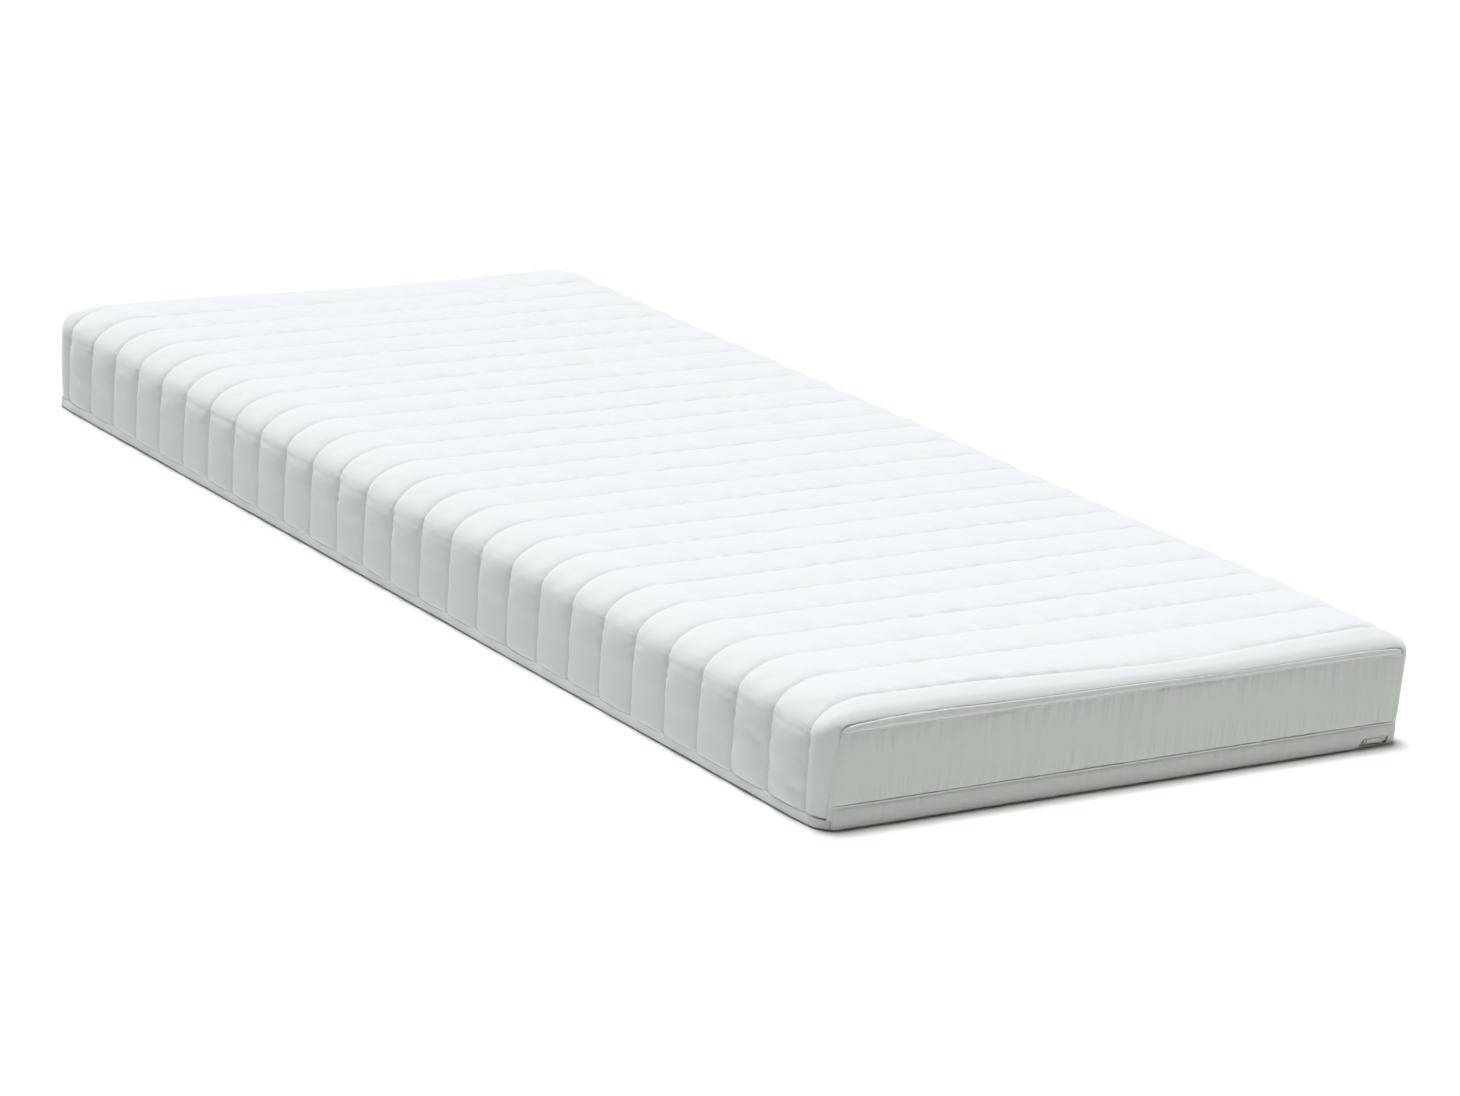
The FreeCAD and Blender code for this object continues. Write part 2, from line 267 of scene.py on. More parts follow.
def section(side_steps, edge_steps, top_steps):
    """The columns of the cover, from the bottom of the left side over the top to the right.

    Each column has a side sign, a share of the flat top's half width, the cosine and sine of
    its place on the edge's quarter ellipse, and a distance below the shoulder.
    """
    shoulder = HEIGHT - EDGE_DROP
    lower = np.linspace(RIM - shoulder, 0, side_steps, endpoint=False)
    turn = np.linspace(0, math.pi / 2, edge_steps, endpoint=False)
    flat = np.linspace(1, 0, top_steps, endpoint=False)
    count = side_steps + edge_steps + top_steps
    sign = np.full(count, -1.0)
    share = np.concatenate([np.ones(side_steps + edge_steps), flat])
    cosine = np.concatenate([np.ones(side_steps), np.cos(turn), np.zeros(top_steps)])
    sine = np.concatenate([np.zeros(side_steps), np.sin(turn), np.ones(top_steps)])
    below = np.concatenate([lower, np.zeros(edge_steps + top_steps)])
    left = np.stack([sign, share, cosine, sine, below])
    middle = np.array([[-1.0], [0.0], [0.0], [1.0], [0.0]])
    right = left[:, ::-1] * np.array([[-1.0], [1.0], [1.0], [1.0], [1.0]])
    return np.concatenate([left, middle, right], axis=1)


def channel_rows(half_shares):
    """The rows of the cover: the channel each is in, from 0, and how far across it, 0 to 1."""
    across = np.concatenate([half_shares, 1 - half_shares[-2:0:-1]])
    channels = STITCH_LINES + 1
    number = np.repeat(np.arange(channels), len(across))
    share = np.tile(across, channels)
    return np.append(number, channels - 1), np.append(share, 1.0)


def end_sag(x, y):
    """How far the soft top sags towards the middle of each end."""
    beside = (x - SAG_CENTRE) / SAG_WIDTH
    behind = (np.abs(y) - HALF_LENGTH) / SAG_LENGTH
    return SAG * np.exp(-beside ** 2 - behind ** 2)


def seam_height(x):
    """Where the end seam lies: nearly level, and lower towards the corners."""
    waver = 1.3 * MM * drift(x / (160 * MM), 0.5, 41)
    return SEAM_Z + waver - 0.8 * end_sag(x, HALF_LENGTH) - 5 * MM * (np.abs(x) / WINDOW) ** 8


def line_place(k, x, topness):
    """How far along the cover quilting line k is sewn. The first and last bow over the ends."""
    fade = 1 - (k / STITCH_LINES) ** 6
    stretch = GAP_GROWTH * (1 - np.exp(-k / GROWTH_LINES)) * fade - FOOT_PULL * np.exp(-k)
    bow = topness * (BOW_LEAST + BOW_MORE * np.exp(-((x - BOW_CENTRE) / BOW_WIDTH) ** 2))
    outward = np.where(k == 0, -1, np.where(k == STITCH_LINES - 1, 1, 0))
    return FIRST_LINE + k * PITCH + stretch + bow * outward


def corner_share(x, y):
    """How near a place is to an upright corner in plan, from 0 to 1."""
    beside = np.abs(x) - (HALF_WIDTH - 0.3 * CORNER)
    behind = np.abs(y) - (HALF_LENGTH - 0.3 * CORNER)
    return np.exp(-(beside ** 2 + behind ** 2) / (32 * MM) ** 2)


def cover_form(columns, rows, edge_drop=EDGE_DROP):
    """The cover's smooth outer form: points, girth in metres, and distance along the length.

    The rows past the last seams turn over the end's edge, down to the end seam, and round the
    upright corners to the window of the end panel.
    """
    sign, share, cosine, sine, below = (c[None, :] for c in columns)
    number, across = (r[:, None] for r in rows)
    topness = sine ** 2
    reach = CORNER + (END_REACH - CORNER) * topness
    window_turn = math.acos(1 - (HALF_WIDTH - WINDOW) / CORNER)
    seam_x = sign * share * (HALF_WIDTH - EDGE_REACH)
    seam_turn = np.arccos(1 - (HEIGHT - seam_height(seam_x)) / END_DROP)
    full_turn = window_turn + (seam_turn - window_turn) * topness
    last_line = abs(FIRST_LINE)
    straight = np.maximum(HALF_LENGTH - reach - last_line, 0)
    end_length = straight + reach * full_turn
    start = np.where(number == 0, -last_line - end_length, line_place(number - 1, seam_x, topness))
    stop = np.where(number == STITCH_LINES, last_line + end_length, line_place(number, seam_x, topness))
    along = start + (stop - start) * across
    past = np.abs(along) - last_line
    turned = np.clip((past - straight) / (end_length - straight), 0, 1)
    angle = turned * full_turn
    y = np.where(turned > 0, HALF_LENGTH - reach * (1 - np.sin(angle)), np.abs(along)) * np.sign(along)
    squareness = 2 + 3 * turned ** 2
    cosine = cosine ** (2 / squareness)
    sine = sine ** (2 / squareness)
    side_inset = CORNER * (1 - np.cos(angle))
    top_inset = END_DROP * (1 - np.cos(angle))
    x = sign * (share * (HALF_WIDTH - EDGE_REACH) + (EDGE_REACH - side_inset) * cosine)
    z = HEIGHT - edge_drop + below + (edge_drop - top_inset) * sine
    points = np.stack(np.broadcast_arrays(x, y, z), axis=-1)
    middle_row = len(across) // 2
    steps = np.linalg.norm(np.diff(points[middle_row], axis=0), axis=1)
    girth = np.concatenate([[0], np.cumsum(steps)])
    girth = np.broadcast_to(girth - girth[-1] / 2, y.shape)
    width = stop - start
    return points, girth, np.broadcast_to(along, y.shape), np.broadcast_to(width, y.shape)


def normals_of(points):
    """The direction out of a grid of points, at each of them."""
    down = np.gradient(points, axis=0)
    over = np.gradient(points, axis=1)
    out = np.cross(over, down)
    return out / np.maximum(np.linalg.norm(out, axis=-1, keepdims=True), 1e-12)


SIM_FRAMES = 20
SIM_PRESSURE = 3.0
SIM_SLACK = 0.035
SIM_CAP = 1.3
SIM_CROWN = 90


def swollen(columns, rows):
    """How far the cloth of each channel swells when its seams are held, as shares of PUFF.

    The cover's cloth, a little larger than the form that it lies on, is pinned along every
    seam and blown up from within, so that it crowns and puckers as sewn cloth does.
    """
    number, across = (r[:, None] for r in rows)
    points = cover_form(columns, rows)[0]
    normals = normals_of(points)
    held = points - normals * PUFF
    count = held.shape[0] * held.shape[1]
    index = np.arange(count).reshape(held.shape[:2])
    quads = np.stack([index[:-1, :-1], index[:-1, 1:], index[1:, 1:], index[1:, :-1]], axis=-1)
    made = bpy.data.meshes.new("cover_cloth")
    made.from_pydata(held.reshape(-1, 3).tolist(), [], quads.reshape(-1, 4).tolist())
    cloth = bpy.data.objects.new("cover_cloth", made)
    bpy.context.scene.collection.objects.link(cloth)
    seams = np.zeros(held.shape[:2], bool)
    seams[(across[:, 0] == 0) | (across[:, 0] == 1)] = True
    seams[:, [0, -1]] = True
    pins = cloth.vertex_groups.new(name="seams")
    pins.add(index[seams].tolist(), 1.0, "REPLACE")
    blown = cloth.modifiers.new("blown", "CLOTH")
    knit_cloth = blown.settings
    knit_cloth.vertex_group_mass = "seams"
    knit_cloth.use_pressure = True
    knit_cloth.uniform_pressure_force = SIM_PRESSURE
    knit_cloth.shrink_min = -SIM_SLACK
    knit_cloth.quality = 6
    knit_cloth.mass = 0.3
    knit_cloth.tension_stiffness = 15
    knit_cloth.compression_stiffness = 15
    knit_cloth.shear_stiffness = 5
    knit_cloth.bending_stiffness = 0.05
    knit_cloth.effector_weights.gravity = 0
    blown.point_cache.frame_end = SIM_FRAMES
    blown.collision_settings.use_collision = False
    for frame_number in range(1, SIM_FRAMES + 1):
        bpy.context.scene.frame_set(frame_number)
    evaluated = cloth.evaluated_get(bpy.context.evaluated_depsgraph_get())
    flat = np.empty(count * 3)
    evaluated.data.vertices.foreach_get("co", flat)
    risen = ((flat.reshape(held.shape) - held) * normals).sum(axis=-1)
    bpy.data.objects.remove(cloth)
    bpy.context.scene.frame_set(1)
    return np.clip(risen / np.percentile(risen, SIM_CROWN), 0, SIM_CAP)


coarse_columns = section(12, 10, 30)
coarse_rows = channel_rows(np.array([0, 0.04, 0.12, 0.28, 0.5]))
swell = swollen(coarse_columns, coarse_rows)


def girth_shares(columns):
    """How far round the cover each column is, from 0 to 1."""
    halfway = (np.array([STITCH_LINES // 2]), np.array([0.5]))
    path = cover_form(columns, halfway)[0][0]
    girth = np.concatenate([[0], np.cumsum(np.linalg.norm(np.diff(path, axis=0), axis=1))])
    return girth / girth[-1]


def swell_at(columns, rows):
    """The simulated swell, read off at the places of a finer grid."""
    place = np.interp(rows[0] + rows[1], coarse_rows[0] + coarse_rows[1], np.arange(len(swell)))
    order = np.interp(girth_shares(columns), girth_shares(coarse_columns), np.arange(swell.shape[1]))
    i = np.minimum(place.astype(int), len(swell) - 2)
    j = np.minimum(order.astype(int), swell.shape[1] - 2)
    a = (place - i)[:, None]
    b = (order - j)[None, :]
    near = swell[i][:, j] * (1 - b) + swell[i][:, j + 1] * b
    far = swell[i + 1][:, j] * (1 - b) + swell[i + 1][:, j + 1] * b
    return near * (1 - a) + far * a


def quilted(columns, rows):
    """The face of the cover with its channels, puckers and lumps, and its form's normals."""
    points, girth, along, width = cover_form(columns, rows)
    number, across = (r[:, None] for r in rows)
    normals = normals_of(points)
    height = points[..., 2]
    from_line = np.minimum(across, 1 - across) * width
    line = number + (across > 0.5)
    crown = np.sin(math.pi * np.clip(across, 0, 1))
    pillow = (SQUARE_SHARE * crown ** PUFF_POWER + ROUND_SHARE * crown
              + SIM_SHARE * swell_at(columns, rows))
    at_end_seam = ((number == 0) & (across < 0.5)) | ((number == STITCH_LINES) & (across > 0.5))
    dip = np.where(at_end_seam, SEAM_PUFF, PUFF)
    fullness = 1 + 0.12 * drift(girth / (260 * MM), number * 1.7, 11)
    depth = dip * (1 - pillow) * fullness
    bite = np.where(at_end_seam, END_BITE, SEAM_BITE)
    depth = depth + bite * np.exp(-from_line / BITE_WIDTH) - PROUD
    # The sewn-in edge tape draws the foot of each side in
    above_rim = height - RIM
    on_side = np.exp(-np.abs(np.abs(points[..., 0]) - HALF_WIDTH) / (6 * MM))
    depth = depth * (1 - 0.45 * np.exp(-above_rim / (9 * MM)))
    depth = depth + 0.5 * MM * np.exp(-above_rim / (4 * MM))
    depth = depth - 1.2 * MM * np.sin(math.pi * np.clip(above_rim / (100 * MM), 0, 1)) * on_side
    # Thread tension puckers the knit beside each seam, and more where it turns over the edge
    pucker = drift(girth / (3.4 * MM), line * 5.3 + (across > 0.5) * 2.1, 12)
    depth = depth + 0.5 * MM * pucker * np.exp(-from_line / (5 * MM)) * (from_line > 0)
    under_edge = np.exp(-(((height - (HEIGHT - 52 * MM)) / (20 * MM)) ** 2)) * on_side
    crimp = drift(girth / (2.6 * MM), along / (26 * MM), 13)
    depth = depth + 0.75 * MM * crimp * under_edge * np.exp(-from_line / (16 * MM))
    # Fibre lumps and the slow waves of a soft block
    depth = depth + 0.45 * MM * drift(girth / (34 * MM), along / (30 * MM), 14)
    depth = depth + 0.9 * MM * drift(girth / (190 * MM), along / (230 * MM), 15)
    depth = depth + end_sag(points[..., 0], points[..., 1]) * normals[..., 2] ** 2
    rise = np.clip(1 - above_rim / (HEIGHT - RIM), 0, 1)
    depth = depth + CORNER_TUCK * corner_share(points[..., 0], points[..., 1]) * rise ** 2
    depth = np.clip(depth, -FURTHEST_OUT, DEEPEST)
    # Seams wander by a fraction of a millimetre, and hook towards the foot end at the edge tape
    wander = 0.5 * MM * drift(girth / (70 * MM), line * 3.1, 16) * np.exp(-from_line / (12 * MM))
    hook = -2.5 * MM * np.exp(-above_rim / (7 * MM)) * on_side
    middle = (number > 0) & (number < STITCH_LINES)
    moved = points - normals * depth[..., None]
    moved[..., 1] += np.where(middle, wander + hook, 0)
    return moved, normals, girth, along


def shell(name, outer, inner, girth, along):
    """A closed piece between two grids that share their layout, with a map in metres."""
    rows, columns = outer.shape[:2]
    count = rows * columns
    index = np.arange(count).reshape(rows, columns)
    quads = np.stack([index[:-1, :-1], index[:-1, 1:], index[1:, 1:], index[1:, :-1]], axis=-1)
    top = quads.reshape(-1, 4)
    rim = np.concatenate([index[0, :], index[1:, -1], index[-1, -2::-1], index[-2:0:-1, 0]])
    following = np.roll(rim, -1)
    edge = np.stack([following, rim, rim + count, following + count], axis=-1)
    faces = np.concatenate([top, top[:, ::-1] + count, edge])
    made = bpy.data.meshes.new(name)
    made.vertices.add(2 * count)
    made.vertices.foreach_set("co", np.concatenate([outer, inner]).reshape(-1))
    made.loops.add(faces.size)
    made.loops.foreach_set("vertex_index", faces.reshape(-1).astype(np.int32))
    made.polygons.add(len(faces))
    made.polygons.foreach_set("loop_start", np.arange(0, faces.size, 4, dtype=np.int32))
    made.update(calc_edges=True)
    mapped = np.stack([np.broadcast_to(girth, (rows, columns)), np.broadcast_to(along, (rows, columns))],
                      axis=-1).reshape(-1, 2)
    mapped = np.concatenate([mapped, mapped])[faces.reshape(-1)]
    cloth_map = made.uv_layers.new(name="cloth")
    cloth_map.data.foreach_set("uv", mapped.reshape(-1).astype(np.float32))
    made.polygons.foreach_set("use_smooth", np.ones(len(faces), bool))
    made.validate()
    piece = bpy.data.objects.new(name, made)
    bpy.context.scene.collection.objects.link(piece)
    return piece


coarse = quilted(coarse_columns, coarse_rows)
wadding_top = coarse[0] - coarse[1] * (FACE + 0.3 * MM)
wadding_form = cover_form(coarse_columns, coarse_rows, BACKING_DROP)[0]
wadding_base = wadding_form - coarse[1] * QUILT_DEPTH
wadding = shell("quilt_wadding_batt", wadding_top, wadding_base, coarse[2], coarse[3])

# Needled polyester batt: fluffy, very white, with loose fibres at its surface.
batt = surface("polyester_fibre_batt", "F6F6F4", fibres(6 * MM), 1.2 * MM, hollow_shade=0.15,
               Roughness=1.0, **{"Sheen Weight": 0.4})
dress(wadding, batt)
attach(wadding, "mattress")
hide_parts("quilt_wadding")

# ---------------------------------------------------------------------------------------------
# Quilted face. One panel of white knitted polyester, laid over the wadding and sewn through in
# straight rows across the width, so it stands up in channels and dives into each seam.

fine_columns = section(32, 32, 82)
fine_rows = channel_rows(np.array([0, 0.012, 0.035, 0.07, 0.12, 0.19, 0.28, 0.38, 0.5]))
face_points, face_normals, face_girth, face_along = quilted(fine_columns, fine_rows)
face = shell("quilted_face_knit", face_points, face_points - face_normals * FACE, face_girth, face_along)

# Double-knit polyester: matt white with a faint bloom from its raised loops. The loops are
# about 1 mm and are drawn at 2.4 mm, the finest that still shows.
KNIT_WALE = 2.4 * MM
KNIT_COURSE = 2.0 * MM
double_knit = surface("white_double_knit", "E9EAEA", knit(KNIT_WALE, KNIT_COURSE), 0.12 * MM,
                      shift=0.02, hollow_shade=0.03, mapped="UV", Roughness=0.88,
                      **{"Sheen Weight": 0.25, "Sheen Roughness": 0.6, "Specular IOR Level": 0.3})
dress(face, double_knit)
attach(face, "mattress")
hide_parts("quilted_face_fabric")

# ---------------------------------------------------------------------------------------------
# Quilting stitches. White polyester lock stitches, about 4 mm long, pulled down into the bottom
# of each crease, over the top and down both long sides.


def open_tree(name, sizes, **others):
    """A new geometry node tree with these named sizes and other inputs, and its input sockets."""
    tree = bpy.data.node_groups.new(name, "GeometryNodeTree")
    kinds = {"Geometry": "Geometry", **{size: "Float" for size in sizes}, **others}
    for label, kind in kinds.items():
        tree.interface.new_socket(label, in_out="INPUT", socket_type="NodeSocket" + kind)
    tree.interface.new_socket("Geometry", in_out="OUTPUT", socket_type="NodeSocketGeometry")
    return tree, add(tree, "NodeGroupInput").outputs


def stitch_tree():
    """A node tree that lays short rounded stitches end to end along the edges of a mesh."""
    tree, given = open_tree("lock_stitches", ("Stitch Pitch", "Stitch Length", "Thread Thickness",
                                              "Unevenness"), Thread="Material")
    path = add(tree, "GeometryNodeMeshToCurve", {"Mesh": given["Geometry"]})
    spaced = add(tree, "GeometryNodeResampleCurve",
                 {"Curve": path.outputs["Curve"], "Length": given["Stitch Pitch"]}, mode="LENGTH")
    tangent = add(tree, "GeometryNodeInputTangent")
    facing = add(tree, "FunctionNodeAlignRotationToVector", {"Vector": tangent.outputs["Tangent"]},
                 axis="X")
    body = add(tree, "GeometryNodeMeshIcoSphere", {"Radius": 0.5, "Subdivisions": 1})
    size = add(tree, "ShaderNodeCombineXYZ", {"X": given["Stitch Length"],
                                              "Y": given["Thread Thickness"],
                                              "Z": given["Thread Thickness"]})
    shaped = add(tree, "GeometryNodeTransform", {"Geometry": body.outputs["Mesh"],
                                                 "Scale": size.outputs["Vector"]})
    least = add(tree, "ShaderNodeMath", {0: 1.0, 1: given["Unevenness"]}, operation="SUBTRACT")
    vary = add(tree, "FunctionNodeRandomValue", {"Min": least.outputs["Value"], "Max": 1.0, "Seed": 7},
               data_type="FLOAT")
    # A float socket and a vector socket share a name here, so the one in use is found by type
    spread = [o for o in vary.outputs if o.type == "VALUE" and o.enabled][0]
    laid = add(tree, "GeometryNodeInstanceOnPoints",
               {"Points": spaced.outputs["Curve"], "Instance": shaped.outputs["Geometry"],
                "Rotation": facing.outputs["Rotation"], "Scale": spread})
    real = add(tree, "GeometryNodeRealizeInstances", {"Geometry": laid.outputs["Instances"]})
    sewn = add(tree, "GeometryNodeSetMaterial", {"Geometry": real.outputs["Geometry"],
                                                 "Material": given["Thread"]})
    add(tree, "NodeGroupOutput", {"Geometry": sewn.outputs["Geometry"]})
    return tree


def grown(name, tree, mesh, values):
    """The plain mesh that a node tree makes of a mesh with these named inputs."""
    seed = bpy.data.objects.new(name, mesh)
    bpy.context.scene.collection.objects.link(seed)
    grower = seed.modifiers.new("grow", "NODES")
    grower.node_group = tree
    for item in tree.interface.items_tree:
        if item.in_out == "INPUT" and item.name in values:
            grower[item.identifier] = values[item.name]
    bpy.context.view_layer.update()
    evaluated = seed.evaluated_get(bpy.context.evaluated_depsgraph_get())
    made = bpy.data.meshes.new_from_object(evaluated)
    seed.modifiers.clear()
    seed.data = made
    made.name = name
    return seed


def strands(paths):
    """A mesh of bare edges, one open strand along each list of points."""
    points = np.concatenate(paths)
    edges = []
    start = 0
    for path in paths:
        edges.extend((i, i + 1) for i in range(start, start + len(path) - 1))
        start += len(path)
    made = bpy.data.meshes.new("strands")
    made.from_pydata(points.tolist(), edges, [])
    return made


# Spun polyester thread: white, tightly twisted, with a soft shine on each stitch.
thread = surface("spun_polyester_thread", "F2F2EF", fibres(0.8 * MM), 0.05 * MM, hollow_shade=0.05,
                 Roughness=0.6, **{"Sheen Weight": 0.2})
lock_stitches = stitch_tree()
STITCH_PITCH = 4.2 * MM
THREAD_STAND = 0.15 * MM
rows_per_channel = (len(fine_rows[0]) - 1) // (STITCH_LINES + 1)
line_rows = [rows_per_channel * (k + 1) for k in range(STITCH_LINES)]
lines = [face_points[r] + face_normals[r] * THREAD_STAND for r in line_rows]
quilting = grown("quilting_lock_stitches", lock_stitches, strands(lines),
                 {"Stitch Pitch": STITCH_PITCH, "Stitch Length": 3.9 * MM,
                  "Thread Thickness": 0.7 * MM, "Unevenness": 0.15, "Thread": thread})
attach(quilting, "mattress")
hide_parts("quilting_threads")

# ---------------------------------------------------------------------------------------------
# End walls. A plain knitted panel, lightly gathered so it ripples upright, over a bonded fleece.
# A flat tape covers its top seam, and a hem hangs over the zip. Both are top-stitched.

TAPE_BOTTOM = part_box("foot_seam_tape")[0].z
HEM_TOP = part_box("foot_hem_band")[1].z
HEM_BOTTOM = 2.4 * MM
HEM_OVER_PULL = 12.9 * MM
PANEL_THICK = 1.2 * MM
FLEECE_THICK = 3.8 * MM
BAND_THICK = 0.9 * MM
SEAM_DEPTH = 0.9 * MM
FLAP_DEPTH = 0.6 * MM
PULL_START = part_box("zip_pull_tab")[0].x - 2 * MM
OVERLOCK_PITCH = 2.6 * MM
OVERLOCK_WIDTH = 6 * MM


def tape_line(x):
    """The height of the lower stitched line on the seam tape, which wavers along the panel."""
    waver = 1.3 * MM * drift(x / (120 * MM), 3.5, 43)
    return TAPE_BOTTOM + 1.5 * MM + waver - 3 * MM * (np.abs(x) / WINDOW) ** 6


def hem_line(x):
    """The height of the stitched line along the top of the hem."""
    return HEM_TOP - 2.5 * MM + 0.7 * MM * drift(x / (90 * MM), 1.5, 44)


def seam_edge(x):
    """The height of the panel's sewn edge: the end seam, rounded off into both upright seams."""
    turn_start = HALF_WIDTH - EDGE_REACH
    round_share = np.clip((np.abs(x) - turn_start) / (WINDOW - turn_start), 0, 1)
    shoulder = HEIGHT - EDGE_DROP
    return shoulder + (seam_height(x) - shoulder) * (1 - round_share ** 5) ** 0.2


def end_depth(x, z):
    """How far the end panel lies inside the end plane, smooth, before its ripples."""
    below = seam_edge(x) - z
    beside = WINDOW - np.abs(x)
    soft = 3 * MM
    near = -soft * np.log(np.exp(-below / soft) + np.exp(-beside / soft))
    dive = SEAM_DEPTH * np.exp(-np.maximum(near, 0) / (3.0 * MM)) - np.minimum(near, 0)
    belly = 1.6 * MM * np.sin(math.pi * np.clip((z - HEM_TOP) / (TAPE_BOTTOM - HEM_TOP), 0, 1)) ** 0.5
    at_tape = 0.6 * MM * np.exp(-np.abs(z - tape_line(x)) / (2.4 * MM))
    at_hem = 1.1 * MM * np.exp(-np.abs(z - hem_line(x)) / (3.0 * MM))
    return 1.2 * MM + dive - belly + at_tape + at_hem


def ripples(x, z, seed):
    """The upright ripples of the gathered knit, strongest near its top and bottom seams."""
    gather = 0.6 + 0.4 * np.cos(2 * math.pi * np.clip((z - HEM_TOP) / (TAPE_BOTTOM - HEM_TOP), 0, 1))
    fine = drift(x / (3.0 * MM), z / (26 * MM), seed)
    broad = drift(x / (9 * MM), z / (60 * MM), seed + 1)
    swells = drift(x / (60 * MM), z / (50 * MM), seed + 6)
    # The tape and the hem hold the knit flat where they cover it
    free = np.clip(np.minimum(tape_line(x) - z, z - hem_line(x) - 2 * MM) / (3 * MM), 0, 1)
    return free * ((0.6 * fine + 0.75 * broad) * MM * gather + 0.7 * MM * swells)


def end_point(sign, x, depth, z):
    """Points on an end wall: sign is -1 for the foot and 1 for the head."""
    return np.stack(np.broadcast_arrays(x, sign * (HALF_LENGTH - depth), z), axis=-1)


def end_shell(name, sign, x, z, outer_depth, thickness):
    """A closed layer of an end wall. The head end's rows run the other way, to face outwards."""
    outer = end_point(sign, x, outer_depth, z)
    inner = end_point(sign, x, outer_depth + thickness, z)
    if sign > 0:
        return shell(name, outer[:, ::-1], inner[:, ::-1], (x + 0 * z)[:, ::-1], (z + 0 * x)[:, ::-1])
    return shell(name, outer, inner, x + 0 * z, z + 0 * x)


# Plain knit, worn inside out from the face: fine wales run up and down, a shade greyer.
plain_knit = surface("gathered_plain_knit", "E7E8E6", knit(2.2 * MM, 4.0 * MM, 0.25), 0.14 * MM,
                     shift=0.03, hollow_shade=0.04, mapped="UV", Roughness=0.85,
                     **{"Sheen Weight": 0.25, "Sheen Roughness": 0.5, "Specular IOR Level": 0.3})
# Bonded polyester fleece: soft, dull and slightly lumpy.
fleece_felt = surface("bonded_polyester_fleece", "EDEDE8", fibres(4 * MM), 0.5 * MM, hollow_shade=0.12,
                      Roughness=1.0, **{"Sheen Weight": 0.3})
# Woven seam tape: flat and smooth, the same white as the knit beside it.
seam_twill = surface("woven_seam_tape", "E7E8E6", knit(1.4 * MM, 1.4 * MM), 0.08 * MM, shift=0.02,
                     hollow_shade=0.04, mapped="UV", Roughness=0.8, **{"Sheen Weight": 0.15})

label_low, label_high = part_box("care_label")


def smooth_window(place, low, high):
    """1 between two places and a little past them, and 0 further out."""
    margin = 10 * MM
    share = np.clip((np.minimum(place - low, high - place) + margin) / (0.6 * margin), 0, 1)
    return share * share * (3 - 2 * share)


